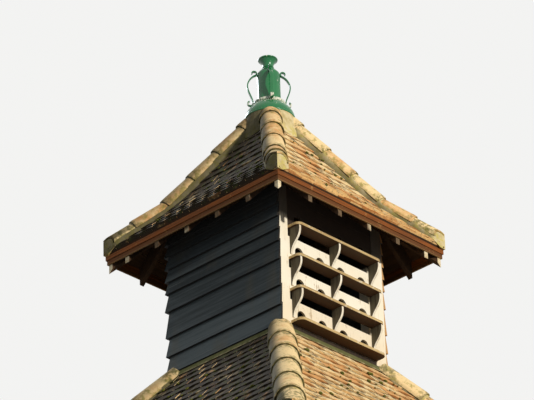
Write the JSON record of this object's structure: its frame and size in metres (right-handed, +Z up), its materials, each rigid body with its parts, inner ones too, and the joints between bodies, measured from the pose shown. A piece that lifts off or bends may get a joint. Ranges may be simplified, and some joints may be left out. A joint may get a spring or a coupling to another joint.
{
  "type": "timber dovecote turret on a tiled roof",
  "caption": "Square timber pigeon turret on a hipped plain-tile roof, with weatherboarded walls, an arched pigeon-hole front with ledges, a swept tiled roof and a green urn finial.",
  "frame": {"origin": "on the floor plane, below the middle of the turret", "axes": "+Z up; the pigeon-hole face looks along -Y; +X to the right seen from that face"},
  "size_m": [4.4, 4.4, 5.4985],
  "materials": {
    "roof_tiles": "weathered clay with lichen",
    "hip_tiles": "weathered clay with lichen",
    "grey_boards": "dark weathered",
    "painted_boards": "worn cream paint",
    "ledge_boards": "worn cream paint over brown wood",
    "roof_timber": "rough sawn",
    "fascia_boards": "stained",
    "flashing": "mossy mortar and lead",
    "mortar": "rough",
    "green_iron": "gloss paint with droppings and rust"
  },
  "bodies": {
    "root": {"apron_flashing": "flashing", "back_posts": "roof_timber", "back_wall": "grey_boards", "brackets_1": "painted_boards", "brackets_2": "painted_boards", "brackets_3": "painted_boards", "fascia": "fascia_boards", "finial_bedding": "mortar", "finial_body": "green_iron", "finial_cup": "green_iron", "finial_post": "roof_timber", "finial_scrolls": "green_iron", "finial_skirt": "green_iron", "front_posts": "painted_boards", "head_board": "painted_boards", "head_plate": "roof_timber", "hip_rafters": "roof_timber", "hole_board_1": "painted_boards", "hole_board_2": "painted_boards", "hole_board_3": "painted_boards", "hole_board_4": "painted_boards", "ledge_1": "ledge_boards", "ledge_2": "ledge_boards", "ledge_3": "ledge_boards", "ledge_4": "ledge_boards", "left_wall": "grey_boards", "lower_hip_rafters": "roof_timber", "lower_hip_tiles": "hip_tiles", "lower_rafters": "roof_timber", "lower_tiles_back": "roof_tiles", "lower_tiles_front": "roof_tiles", "lower_tiles_left": "roof_tiles", "lower_tiles_right": "roof_tiles", "lower_wall_plate": "roof_timber", "rafters": "roof_timber", "right_wall": "grey_boards", "roof_boarding": "roof_timber", "roof_hip_tiles": "hip_tiles", "roof_tiles_back": "roof_tiles", "roof_tiles_front": "roof_tiles", "roof_tiles_left": "roof_tiles", "roof_tiles_right": "roof_tiles", "sill_board": "painted_boards", "sill_frame": "roof_timber"}
  },
  "joints": []
}
